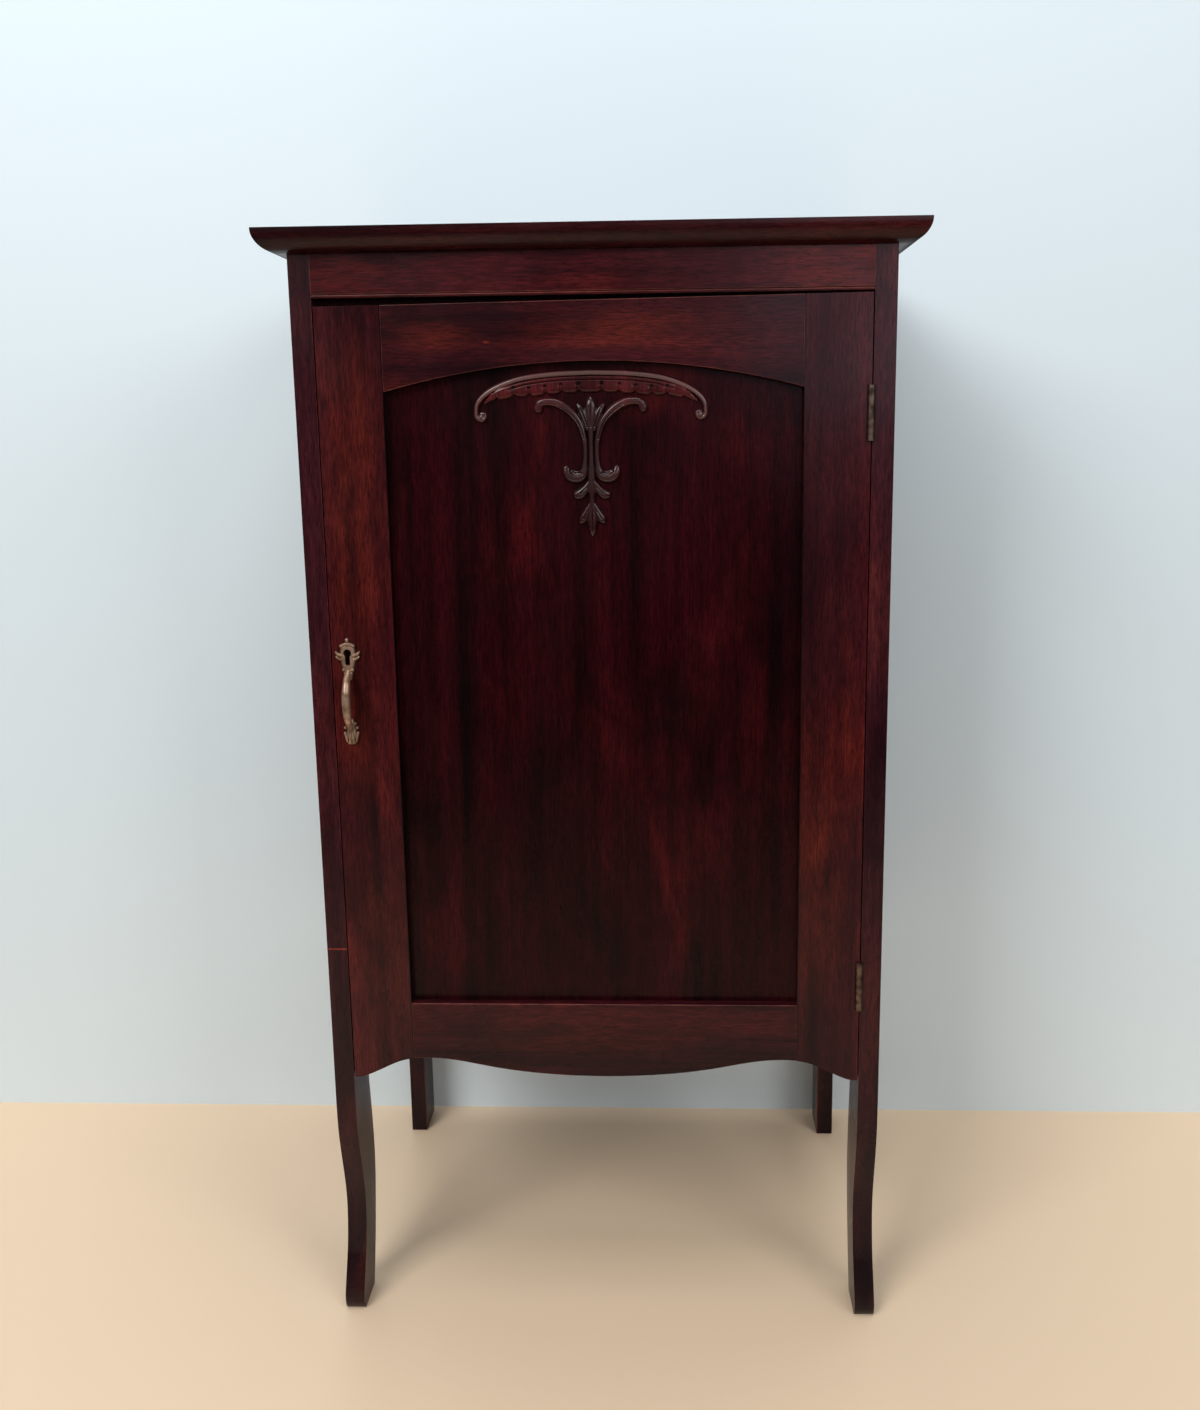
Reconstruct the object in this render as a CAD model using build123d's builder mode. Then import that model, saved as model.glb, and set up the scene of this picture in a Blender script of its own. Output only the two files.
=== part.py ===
# Sheet music cabinet on four legs, with seven shelves behind one hinged and locking door.
from build123d import *
import os

os.makedirs("parts", exist_ok=True)

# Overall sizes in millimetres
height = 1090.0
width = 550.0
depth = 337.0
top_thick = 20.5
side_overhang = 26.0
front_overhang = 18.0

# Posts, boards and rails
post_width = 20.0
post_depth = 50.0
rear_post_depth = 44.0
leg_height = 262.0
side_thick = 14.0
side_recess = 2.0
tongue_thick = 6.0
tongue_length = 8.0
back_rail_thick = 18.0
back_rail_height = 45.0
back_thick = 6.0
groove_depth = 6.0
frieze_height = 39.5
frieze_thick = 20.4
tenon_length = 12.0
tenon_thick = 8.0

# Shelves and bottom board
shelf_count = 7
shelf_thick = 8.0
housing_depth = 4.0
shelf_setback = 33.0
bottom_rise = 28.0
bottom_thick = 14.0
shelf_side_clearance = 0.3

# Door
door_gap = 1.2
door_thick = 20.0
door_top_gap = 1.7
door_top_taper = 5.6
stop_clearance = 0.4
stile_width = 61.0
lower_rail_depth = 80.0
upper_rail_depth = 56.8
arch_rise = 26.0
lip = 8.7
panel_thick = 6.0
rebate = 8.0
panel_clearance = 0.5
door_tenon_length = 40.0
door_tenon_thick = 7.0

# Hinges
hinge_height = 50.0
hinge_from_low = 101.0
hinge_from_top = 106.8
knuckle_radius = 3.2
pin_radius = 1.6
pin_clearance = 0.05
knuckle_gap = 0.1
leaf_thick = 1.5
leaf_reach = 16.0
hinge_axis_in = 0.5
hinge_axis_out = 0.8
knuckle_relief = 0.4

# Pull, keyhole and lock
pull_edge_distance = 15.5
pull_plate = 2.6
keyhole_above_middle = 56.2
keyhole_radius = 3.5
keyhole_slot = 4.8
keyhole_drop = 11.4
lock_width = 36.0
lock_below = 34.4
lock_above = 19.6
lock_depth = 11.0
lock_plate_thick = 1.5
lock_wall = 1.2
bolt_above = 5.1
bolt_height = 8.0
bolt_thick = 6.0
bolt_clearance = 0.15
strike_below = 16.4
strike_above = 33.6

# Carvings
carving_shift = -2.5
crescent_proud = 5.0
scallop_proud = 3.6
leaf_proud = 4.0

# Derived positions
front = -(depth + front_overhang) / 2 + front_overhang
back = front + depth
post_x = width / 2
inner_x = post_x - post_width
carcass_top = height - top_thick
frieze_bottom = carcass_top - frieze_height
door_top = frieze_bottom - door_top_gap
arch_crown = door_top - upper_rail_depth
arch_spring = arch_crown - arch_rise
rail_top_of_lower = leg_height + lower_rail_depth
bottom_low = leg_height + bottom_rise
side_out = post_x - side_recess
side_in = side_out - side_thick
door_x = inner_x - door_gap
sight_x = door_x - stile_width
rebate_x = sight_x + rebate
door_back = front + door_thick
panel_front = front + lip
panel_back = panel_front + panel_thick
rebate_low = rail_top_of_lower - rebate
rebate_high = arch_crown + rebate
rail_front = back - 1.0 - back_rail_thick
panel_groove_front = rail_front + 6.0
hinge_x = door_x - hinge_axis_in
hinge_y = front - hinge_axis_out
pull_x = -door_x + pull_edge_distance
bottom_top = bottom_low + bottom_thick
side_y = (front + post_depth, back - rear_post_depth)
hinge_centres = (leg_height + hinge_from_low, door_top - hinge_from_top)
keyhole_centre = (leg_height + door_top) / 2 + keyhole_above_middle
lock_low = keyhole_centre - lock_below
lock_high = keyhole_centre + lock_above
bolt_low = keyhole_centre + bolt_above
bolt_high = bolt_low + bolt_height
strike_z = (keyhole_centre - strike_below, keyhole_centre + strike_above)


def facing(y):
    """Plane that looks out of the front of the cabinet, with x to the right and z up."""
    return Plane.XZ.offset(-y)


def block(x, y, z, mode=Mode.ADD):
    """Rectangular block between pairs of x, y and z."""
    with Locations((sum(x) / 2, sum(y) / 2, sum(z) / 2)):
        Box(abs(x[1] - x[0]), abs(y[1] - y[0]), abs(z[1] - z[0]), mode=mode)


def mirrored(points, middle=0.0, base=0.0):
    """Half outline about a middle line, raised by base and completed on the left."""
    right = [(middle + x, base + z) for x, z in points]
    return right + [(middle - x, base + z) for x, z in reversed(points) if x > 0]


def countersunk(places, shank, head, length, grow=0.0, mode=Mode.ADD):
    """Countersunk screws, or their holes when grow is given, at planes that face outwards."""
    sink = head / 2
    low = (Align.CENTER, Align.CENTER, Align.MAX)
    with Locations(*places):
        Cylinder(shank / 2 + grow, length + grow, align=low, mode=mode)
        Cone(shank / 2 + grow, head / 2 + grow, sink / 2, align=low, mode=mode)
        if mode == Mode.ADD:
            Box(head * 1.2, 0.9, 0.6, align=low, mode=Mode.SUBTRACT)


def leaf_screws(middle, x, way):
    """Places of the three screws in one hinge leaf that faces along x."""
    return [Plane(origin=(x, front + 10, middle + dz), z_dir=(way, 0, 0)) for dz in (-16, 0, 16)]


def save(builder, name):
    """Label the solid and write it as its own file."""
    builder.part.label = name
    export_step(builder.part, f"parts/{name}.step")


# Top board: a flat board whose front and ends are rounded below a sharp upper edge
top_x = post_x + side_overhang
top_front = front - front_overhang
nose = top_thick - 0.5
cleat = 20.0
cleat_y = (side_y[0] + 30, side_y[1] - 33)
cleat_screw_length = 34.0
cleat_screws = [
    Plane(origin=(side * (side_in - cleat / 2), y, carcass_top - cleat), z_dir=(0, 0, -1))
    for side in (-1, 1)
    for y in (cleat_y[0] + 20, (cleat_y[0] + cleat_y[1]) / 2, cleat_y[1] - 20)
]
with BuildPart() as top_board:
    block((-top_x, top_x), (top_front, back), (carcass_top, height))
    nosed = top_board.edges().filter_by_position(Axis.Z, carcass_top - 0.1, carcass_top + 0.1)
    fillet(nosed.filter_by(lambda e: e.center().Y < back - 1), radius=nose * 0.97)
    countersunk(cleat_screws, 4.0, 8.0, cleat_screw_length, grow=0.1, mode=Mode.SUBTRACT)
save(top_board, "top_board")

# Frieze rail: stands between the front posts and carries a small bead along its lower edge
bead_radius = 1.2
with BuildPart() as frieze_rail:
    block((-inner_x, inner_x), (front, front + frieze_thick), (frieze_bottom, carcass_top))
    with BuildSketch(Plane.YZ.offset(-inner_x)):
        with Locations((front, frieze_bottom + 2 * bead_radius + 0.6)):
            Rectangle(2.4, 1.2)
    extrude(amount=2 * inner_x, mode=Mode.SUBTRACT)
    bead_edge = frieze_rail.edges().filter_by(Axis.X).sort_by_distance((0, front, frieze_bottom))[0:1]
    fillet(bead_edge, radius=bead_radius)
    block(
        (-inner_x - tenon_length, inner_x + tenon_length),
        (front + 6, front + 6 + tenon_thick),
        (frieze_bottom + 8, carcass_top - 8),
    )
save(frieze_rail, "frieze_rail")

# Front posts: straight beside the door, then a leg that bows back and kicks its foot forward
leg_front = [
    (0, 235), (1, 205), (6, 172), (13, 138), (16, 108), (13.5, 80), (8, 56), (1, 38), (-5, 22), (-6.5, 9),
]
leg_back = [
    (31, 0), (36, 17), (41, 36), (46, 58), (51, 84), (55, 110), (57, 138), (56, 168), (53, 202), (50, 235),
]
for side, sign in (("left", -1), ("right", 1)):
    with BuildPart() as front_post:
        with BuildSketch(Plane.YZ.offset(min(sign * post_x, sign * inner_x))):
            with BuildLine():
                fore = Spline([(front + y, z) for y, z in leg_front], tangents=[(0, -1), (0.15, -1)])
                toe = Line((front - 2.5, 0), (front + leg_back[0][0], 0))
                TangentArc(fore @ 1, toe @ 0, tangent=fore % 1)
                aft = Spline([(front + y, z) for y, z in leg_back], tangents=[(0.3, 1), (0, 1)])
                Polyline(aft @ 1, (front + post_depth, carcass_top), (front, carcass_top), fore @ 0)
            make_face()
        extrude(amount=post_width)
        tenon_x = (sign * inner_x, sign * (inner_x + tenon_length))
        block(
            tenon_x,
            (front + 6, front + 6 + tenon_thick),
            (frieze_bottom + 8, carcass_top - 8),
            mode=Mode.SUBTRACT,
        )
        block(
            (sign * (side_in + 4), sign * (side_in + 4 + tongue_thick)),
            (front + post_depth - tongue_length, front + post_depth),
            (leg_height, carcass_top),
            mode=Mode.SUBTRACT,
        )
        if side == "left":
            block(
                (-inner_x, -inner_x - 12),
                (front + 10, front + 18.5),
                (bolt_low - 1.5, bolt_high + 1.5),
                mode=Mode.SUBTRACT,
            )
            block((-inner_x, -inner_x - 1.5), (front + 6, front + 20), strike_z, mode=Mode.SUBTRACT)
            strike_screws = [
                Plane(origin=(-inner_x, front + 14, z), z_dir=(1, 0, 0))
                for z in (strike_z[0] + 6, strike_z[1] - 6)
            ]
            countersunk(strike_screws, 2.4, 5.0, 10.0, grow=0.1, mode=Mode.SUBTRACT)
        else:
            for middle in hinge_centres:
                span = (middle - hinge_height / 2, middle + hinge_height / 2)
                leaf_x = (inner_x, inner_x + leaf_thick)
                block(leaf_x, (front, front + leaf_reach), span, mode=Mode.SUBTRACT)
                reach = knuckle_radius + knuckle_relief
                block((inner_x, hinge_x + reach), (front, hinge_y + reach), span, mode=Mode.SUBTRACT)
                countersunk(leaf_screws(middle, inner_x, -1), 3.0, 6.0, 14.0, grow=0.1, mode=Mode.SUBTRACT)
    save(front_post, f"post_front_{side}")

# Rear posts: straight and square, grooved for the side boards and the back
for side, sign in (("left", -1), ("right", 1)):
    with BuildPart() as rear_post:
        block((sign * inner_x, sign * post_x), (back - rear_post_depth, back), (0, carcass_top))
        block(
            (sign * (side_in + 4), sign * (side_in + 4 + tongue_thick)),
            (back - rear_post_depth, back - rear_post_depth + tongue_length),
            (leg_height, carcass_top),
            mode=Mode.SUBTRACT,
        )
        block(
            (sign * inner_x, sign * (inner_x + groove_depth)),
            (panel_groove_front, panel_groove_front + back_thick),
            (leg_height, carcass_top),
            mode=Mode.SUBTRACT,
        )
    save(rear_post, f"post_rear_{side}")

# Side boards: solid boards tongued into the posts, with housings for the shelves and bottom
clear_height = (frieze_bottom - bottom_top - shelf_count * shelf_thick) / (shelf_count + 1)
shelf_lows = [bottom_top + clear_height + i * (clear_height + shelf_thick) for i in range(shelf_count)]
for side, sign in (("left", -1), ("right", 1)):
    with BuildPart() as side_board:
        block((sign * side_in, sign * side_out), side_y, (leg_height, carcass_top))
        block(
            (sign * (side_in + 4), sign * (side_in + 4 + tongue_thick)),
            (side_y[0] - tongue_length, side_y[1] + tongue_length),
            (leg_height, carcass_top),
        )
        housing_x = (sign * side_in, sign * (side_in + housing_depth))
        for low, thick in [(bottom_low, bottom_thick)] + [(low, shelf_thick) for low in shelf_lows]:
            block(housing_x, side_y, (low, low + thick), mode=Mode.SUBTRACT)
    save(side_board, f"side_board_{side}")

# Back: two rails between the rear posts and a thin panel grooved into them
with BuildPart() as back_rail_upper:
    block((-inner_x, inner_x), (rail_front, back - 1), (carcass_top - back_rail_height, carcass_top))
    block(
        (-inner_x, inner_x),
        (panel_groove_front, panel_groove_front + back_thick),
        (carcass_top - back_rail_height, carcass_top - back_rail_height + groove_depth),
        mode=Mode.SUBTRACT,
    )
save(back_rail_upper, "back_rail_upper")

with BuildPart() as back_rail_lower:
    block((-inner_x, inner_x), (rail_front, back - 1), (leg_height, leg_height + back_rail_height))
    block(
        (-inner_x, inner_x),
        (panel_groove_front, panel_groove_front + back_thick),
        (leg_height + back_rail_height - groove_depth, leg_height + back_rail_height),
        mode=Mode.SUBTRACT,
    )
save(back_rail_lower, "back_rail_lower")

with BuildPart() as back_panel:
    block(
        (-inner_x - groove_depth, inner_x + groove_depth),
        (panel_groove_front, panel_groove_front + back_thick),
        (leg_height + back_rail_height - groove_depth, carcass_top - back_rail_height + groove_depth),
    )
save(back_panel, "back_panel")

# Bottom board and shelves: notched round the posts and held in the side housings
shelf_end = side_in + housing_depth
notch_x = inner_x - shelf_side_clearance
with BuildPart() as bottom_board:
    block((-shelf_end, shelf_end), side_y, (bottom_low, bottom_top))
    block((-notch_x, notch_x), (door_back + stop_clearance, rail_front), (bottom_low, bottom_top))
save(bottom_board, "bottom_board")

for number, low in enumerate(shelf_lows, start=1):
    with BuildPart() as shelf:
        block((-shelf_end, shelf_end), side_y, (low, low + shelf_thick))
        block((-notch_x, notch_x), (front + shelf_setback, panel_groove_front), (low, low + shelf_thick))
        fillet(shelf.edges().filter_by(Axis.X).group_by(Axis.Y)[0], radius=1.5)
    save(shelf, f"shelf_{number}")

# Cleats and screws that hold the top, and glue blocks below the bottom board
for side, sign in (("left", -1), ("right", 1)):
    with BuildPart() as top_cleat:
        block((sign * (side_in - cleat), sign * side_in), cleat_y, (carcass_top - cleat, carcass_top))
        countersunk(cleat_screws, 4.0, 8.0, cleat_screw_length, grow=0.1, mode=Mode.SUBTRACT)
    save(top_cleat, f"top_cleat_{side}")

    with BuildPart() as glue_block:
        with BuildSketch(facing(cleat_y[0])):
            with BuildLine():
                Polyline(
                    (sign * side_in, bottom_low),
                    (sign * (side_in - 22), bottom_low),
                    (sign * side_in, bottom_low - 22),
                    close=True,
                )
            make_face()
        extrude(amount=cleat_y[0] - cleat_y[1])
    save(glue_block, f"glue_block_{side}")

with BuildPart() as top_screws:
    countersunk(cleat_screws, 4.0, 8.0, cleat_screw_length)
save(top_screws, "top_screws")

# Door stops: a strip behind the frieze and a strip down the left post
stop_y = (front + frieze_thick, front + frieze_thick + 10)
with BuildPart() as door_stop_upper:
    block((-inner_x, inner_x), stop_y, (door_top - door_top_taper - 10, frieze_bottom + 20))
save(door_stop_upper, "door_stop_upper")

with BuildPart() as door_stop_left:
    block((-inner_x, -inner_x + 8), stop_y, (bottom_top, door_top - door_top_taper - 10))
save(door_stop_left, "door_stop_left")

# Door outline: level lower corners, a shaped lower edge and an upper edge that runs out of level
door_low_shape = [
    (1, 0), (0.969, 0.4), (0.926, 4.3), (0.871, 11), (0.812, 17.6), (0.717, 21),
    (0.591, 18.6), (0.441, 11.3), (0.26, 5), (0.118, 2.6), (0, 2),
]
door_low_edge = [(door_x * across, leg_height + rise) for across, rise in door_low_shape]
with BuildSketch(facing(front)) as door_face:
    with BuildLine():
        low = Spline(mirrored(door_low_edge))
        Polyline(low @ 1, (-door_x, door_top - door_top_taper), (door_x, door_top), low @ 0)
    make_face()

# Keyhole: a round head over a straight slot
with BuildSketch(facing(front)) as keyhole_face:
    with Locations((pull_x, keyhole_centre)):
        Circle(keyhole_radius)
    with Locations((pull_x, keyhole_centre - keyhole_drop / 2)):
        Rectangle(keyhole_slot, keyhole_drop)

door_tenon_y = (front + 1, front + 1 + door_tenon_thick)
upper_tenon_z = (rebate_high + 5, door_top - door_top_taper - 10)
lower_tenon_z = (leg_height + 26, rebate_low - 4)
middle_x = sight_x + door_tenon_length
lock_back = door_back - lock_plate_thick
pull_pins = [Plane(origin=(pull_x, front, keyhole_centre + z), z_dir=(0, -1, 0)) for z in (8.1, -84.4)]

# Door stiles: the left one takes the lock and pull, the right one the hinges
for side, sign in (("left", -1), ("right", 1)):
    with BuildPart() as stile:
        extrude(door_face.sketch, amount=-door_thick)
        block((sign * sight_x, sign * door_x), (front, door_back), (0, height), mode=Mode.INTERSECT)
        block(
            (sign * sight_x, sign * rebate_x),
            (panel_front, door_back),
            (rebate_low, rebate_high),
            mode=Mode.SUBTRACT,
        )
        for span in (upper_tenon_z, lower_tenon_z):
            block((sign * sight_x, sign * (middle_x + 0.5)), door_tenon_y, span, mode=Mode.SUBTRACT)
        if side == "left":
            block(
                (-door_x, -door_x + lock_width),
                (lock_back - lock_depth + lock_plate_thick, door_back),
                (lock_low, lock_high),
                mode=Mode.SUBTRACT,
            )
            block(
                (-door_x, -door_x + lock_width),
                (lock_back, door_back),
                (lock_low - 4, lock_high + 4),
                mode=Mode.SUBTRACT,
            )
            extrude(keyhole_face.sketch, amount=-10, mode=Mode.SUBTRACT)
            lock_screws = [
                Plane(origin=(x, door_back, z), z_dir=(0, 1, 0))
                for x in (-door_x + 8, -door_x + lock_width - 8)
                for z in (lock_low - 1.9, lock_high + 1.9)
            ]
            countersunk(lock_screws, 1.8, 3.4, 9.0, grow=0.1, mode=Mode.SUBTRACT)
            with Locations(*pull_pins):
                Cylinder(0.9, 8, align=(Align.CENTER, Align.CENTER, Align.MAX), mode=Mode.SUBTRACT)
        else:
            for middle in hinge_centres:
                span = (middle - hinge_height / 2, middle + hinge_height / 2)
                block(
                    (door_x - leaf_thick, door_x), (front, front + leaf_reach), span, mode=Mode.SUBTRACT
                )
                reach = knuckle_radius + knuckle_relief
                block((hinge_x - reach, door_x), (front, hinge_y + reach), span, mode=Mode.SUBTRACT)
                countersunk(leaf_screws(middle, door_x, 1), 3.0, 6.0, 14.0, grow=0.1, mode=Mode.SUBTRACT)
    save(stile, f"door_stile_{side}")

# Door rails: the upper one arched along its lower edge, both tenoned into the stiles
with BuildPart() as door_rail_upper:
    extrude(door_face.sketch, amount=-door_thick)
    block((-sight_x, sight_x), (front, door_back), (arch_spring, height), mode=Mode.INTERSECT)
    with BuildSketch(facing(front)):
        with BuildLine():
            arch = ThreePointArc((-sight_x, arch_spring), (0, arch_crown), (sight_x, arch_spring))
            Line(arch @ 1, arch @ 0)
        make_face()
    extrude(amount=-door_thick, mode=Mode.SUBTRACT)
    block((-sight_x, sight_x), (panel_front, door_back), (arch_spring, rebate_high), mode=Mode.SUBTRACT)
    block((-middle_x, middle_x), door_tenon_y, upper_tenon_z)
save(door_rail_upper, "door_rail_upper")

with BuildPart() as door_rail_lower:
    extrude(door_face.sketch, amount=-door_thick)
    block((-sight_x, sight_x), (front, door_back), (0, rail_top_of_lower), mode=Mode.INTERSECT)
    rebate_z = (rebate_low, rail_top_of_lower)
    block((-sight_x, sight_x), (panel_front, door_back), rebate_z, mode=Mode.SUBTRACT)
    block((-middle_x, middle_x), door_tenon_y, lower_tenon_z)
save(door_rail_lower, "door_rail_lower")

# Door panel and the four beads that hold it in its rebate
with BuildPart() as door_panel:
    block(
        (-rebate_x + panel_clearance, rebate_x - panel_clearance),
        (panel_front, panel_back),
        (rebate_low + panel_clearance, rebate_high - panel_clearance),
    )
save(door_panel, "door_panel")

for side, sign in (("left", -1), ("right", 1)):
    with BuildPart() as panel_bead:
        block((sign * sight_x, sign * rebate_x), (panel_back, door_back), (rebate_low, rebate_high))
        inner = panel_bead.edges().filter_by(Axis.Z).sort_by_distance((0, door_back, keyhole_centre))[0]
        fillet(inner, radius=3)
    save(panel_bead, f"panel_bead_{side}")

for name, low, edge in (("lower", rebate_low, 1), ("upper", arch_crown, 0)):
    with BuildPart() as panel_bead:
        block((-sight_x, sight_x), (panel_back, door_back), (low, low + rebate))
        inner = panel_bead.edges().filter_by(Axis.X).group_by(Axis.Y)[-1].sort_by(Axis.Z)[edge]
        fillet(inner, radius=3)
    save(panel_bead, f"panel_bead_{name}")

# Crescent carving: a rounded moulding that thins towards two scroll ends
crescent_outer = [
    (107.6, -46), (107, -38.5), (102, -30.5), (92, -23), (77, -16.5), (60, -12.3), (33, -9.2),
    (0, -8.1),
]
crescent_inner = [
    (102.6, -42.5), (101.5, -37.5), (97.5, -32.7), (89, -26.9), (75, -20.9), (59, -16.8), (33, -13.8),
    (0, -12.7),
]
scroll_centre = (101.8, -48)
scroll_radius = 5.6
with BuildPart() as crescent:
    with BuildSketch(facing(panel_front)):
        with BuildLine():
            outer = Spline(mirrored(crescent_outer, carving_shift, arch_crown))
            inner = Spline(mirrored(crescent_inner, carving_shift, arch_crown))
            Line(outer @ 0, inner @ 0)
            Line(outer @ 1, inner @ 1)
        make_face()
    extrude(amount=crescent_proud)
    chamfer(crescent.faces().sort_by(Axis.Y)[0].edges(), length=1.2)
    for x, z in mirrored([scroll_centre], carving_shift, arch_crown):
        with Locations(facing(panel_front) * Location((x, z, 0))):
            Cylinder(scroll_radius, crescent_proud - 2, align=(Align.CENTER, Align.CENTER, Align.MIN))
            Cone(
                scroll_radius,
                scroll_radius - 2.5,
                2.6,
                align=(Align.CENTER, Align.CENTER, Align.MIN),
            )
save(crescent, "carved_crescent")

# Scalloped band under the crescent, with a drilled dot between the scallops
scallop_joints = [(88, -31.1), (71, -27.5), (56.7, -28), (41.7, -26.7), (27, -25.1), (10.7, -24.5)]
scallop_sag = 3.3
with BuildPart() as scallop_band:
    with BuildSketch(facing(panel_front)):
        with BuildLine():
            edge_points = mirrored(scallop_joints, carving_shift, arch_crown)
            upper = Spline(mirrored(crescent_inner[3:], carving_shift, arch_crown - 0.8))
            for a, b in zip(edge_points, edge_points[1:]):
                low = ((a[0] + b[0]) / 2, (a[1] + b[1]) / 2 - scallop_sag)
                ThreePointArc(a, low, b)
            Line(upper @ 0, edge_points[0])
            Line(upper @ 1, edge_points[-1])
        make_face()
    extrude(amount=scallop_proud)
    with BuildSketch(facing(panel_front - scallop_proud)):
        with Locations(*mirrored(scallop_joints[2:], carving_shift, arch_crown + 5.2)):
            Circle(1.0)
    extrude(amount=-2.0, mode=Mode.SUBTRACT)
save(scallop_band, "carved_scallops")

# Centre carving: a leaf fan on a stem with side lobes and a hanging leaf, between two scrolls
stem_outline = [
    (0, -32.2), (4.8, -39.1), (5.2, -41.1), (12.4, -39.5), (9.3, -47.5), (5, -54), (3, -65.5),
    (2.2, -78.5), (2.8, -91.5), (3.2, -109.5), (9, -116.7), (16.5, -119.1), (15.8, -124.3),
    (9.8, -126.5), (3.2, -120), (1.8, -126.5), (2.8, -132.5), (7.6, -140.1), (11.5, -145.5),
    (8.6, -148.7), (4.5, -147.2), (2.5, -154), (0, -160.5),
]
scroll_outer = [
    (45.5, -45), (52.5, -43.5), (52.3, -38), (48, -34), (40.5, -33.5), (29.5, -34.5), (17, -41.5),
    (7.2, -52.9), (2.4, -68.5),
]
scroll_curl = [
    (1.5, -83.5), (2.6, -95.5), (4.5, -105), (8.6, -109.5), (17, -110.5), (24.6, -106.5), (26.2, -99.1),
    (21, -95.5),
]
scroll_inner = [
    (19.5, -99), (14, -102.2), (9.3, -99.5), (7.2, -92.5), (6.2, -83.5), (7.6, -71.9), (13.2, -58.1),
    (22.8, -47.5), (33, -40.9), (40.5, -39.2), (44, -41),
]
with BuildPart() as centre_carving:
    with BuildSketch(facing(panel_front)):
        with BuildLine():
            Polyline(mirrored(stem_outline, carving_shift, arch_crown), close=True)
        make_face()
    extrude(amount=leaf_proud)
    for sign in (-1, 1):
        with BuildSketch(facing(panel_front)):
            with BuildLine():
                rim = scroll_outer + scroll_curl
                lobe = Spline([(carving_shift + sign * x, arch_crown + z) for x, z in rim])
                hollow = Spline([(carving_shift + sign * x, arch_crown + z) for x, z in scroll_inner])
                Line(lobe @ 1, hollow @ 0)
                Line(hollow @ 1, lobe @ 0)
            make_face()
        extrude(amount=leaf_proud + 0.8)
save(centre_carving, "carved_centre")

# Pull: a keyhole plate with leaf wings, a bowed bar and a fanned lower plate, cast in one piece
plate_outline = [
    (4.2, -25.4), (5.2, -17.4), (6.2, -12.4), (6.6, -6.9), (9.5, -4.9), (12.2, -1.4), (10.5, 2.1),
    (7.2, 3.1), (7.4, 7.1), (4, 9.1), (1.6, 10.6), (0, 13.2),
]
fan_outline = [(3.2, -67.4), (7.4, -73.4), (6.2, -76.9), (7.4, -80.9), (5.2, -85.9), (3.6, -90.4)]
bar_route = [
    (-2.4, -20.4), (-8.5, -26.4), (-13.2, -37.4), (-14.2, -46.4), (-13.2, -56.4), (-8.5, -66.4),
    (-2.4, -72.4),
]
with BuildPart() as door_pull:
    with BuildSketch(facing(front)):
        for outline in (plate_outline, fan_outline):
            with BuildLine():
                Polyline(mirrored(outline, pull_x, keyhole_centre), close=True)
            make_face()
    extrude(amount=pull_plate)
    with BuildLine(Plane.YZ.offset(pull_x)) as bar_line:
        Spline([(front + y, keyhole_centre + z) for y, z in bar_route])
    with BuildSketch(Plane(origin=bar_line.line @ 0, z_dir=bar_line.line % 0)):
        Circle(3.2)
    sweep(path=bar_line.line)
    with Locations(*[(pull_x, front - 3.2, keyhole_centre + z) for z in (-21.9, -70.9)]):
        Sphere(4.6)
    behind = (keyhole_centre - 100, keyhole_centre + 20)
    block((pull_x - 20, pull_x + 20), (front, front + 20), behind, mode=Mode.SUBTRACT)
    extrude(keyhole_face.sketch, amount=pull_plate, mode=Mode.SUBTRACT)
    with Locations(*pull_pins):
        Cylinder(0.9, 20, mode=Mode.SUBTRACT)
save(door_pull, "door_pull")

with BuildPart() as pins:
    with Locations(*pull_pins):
        Cylinder(0.8, 8, align=(Align.CENTER, Align.CENTER, Align.MAX))
        Cylinder(0.8, pull_plate, align=(Align.CENTER, Align.CENTER, Align.MIN))
    with Locations(*[pin.offset(pull_plate) for pin in pull_pins]):
        Cylinder(1.3, 0.5, align=(Align.CENTER, Align.CENTER, Align.MIN))
save(pins, "pull_pins")

# Lock: brass plate with its edge strip, the box behind the keyhole, and the sliding bolt
lock_x = (-door_x, -door_x + lock_width)
box_front = lock_back - lock_depth + lock_plate_thick
bolt_middle = (box_front + lock_wall + lock_back) / 2
bolt_y = (bolt_middle - bolt_thick / 2, bolt_middle + bolt_thick / 2)
with BuildPart() as lock_plate:
    block(lock_x, (lock_back, door_back), (lock_low - 4, lock_high + 4))
    block((lock_x[0], lock_x[0] + lock_plate_thick), (box_front, lock_back), (lock_low, lock_high))
    block(
        (lock_x[0], lock_x[0] + lock_plate_thick),
        (bolt_y[0] - bolt_clearance, bolt_y[1] + bolt_clearance),
        (bolt_low - bolt_clearance, bolt_high + bolt_clearance),
        mode=Mode.SUBTRACT,
    )
    countersunk(lock_screws, 1.8, 3.4, 9.0, grow=0.1, mode=Mode.SUBTRACT)
save(lock_plate, "lock_plate")

with BuildPart() as lock_box:
    block((lock_x[0] + lock_plate_thick, lock_x[1]), (box_front, lock_back), (lock_low, lock_high))
    block(
        (lock_x[0] + lock_plate_thick, lock_x[1] - lock_wall),
        (box_front + lock_wall, lock_back),
        (lock_low + lock_wall, lock_high - lock_wall),
        mode=Mode.SUBTRACT,
    )
    extrude(keyhole_face.sketch, amount=-11, mode=Mode.SUBTRACT)
save(lock_box, "lock_box")

with BuildPart() as lock_bolt:
    block((lock_x[0] + 0.2, lock_x[0] + 26), bolt_y, (bolt_low, bolt_high))
    block((lock_x[0] + 14, lock_x[0] + 17), bolt_y, (bolt_low, bolt_low + 2.5), mode=Mode.SUBTRACT)
save(lock_bolt, "lock_bolt")

with BuildPart() as screws:
    countersunk(lock_screws, 1.8, 3.4, 9.0)
save(screws, "lock_screws")

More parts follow.
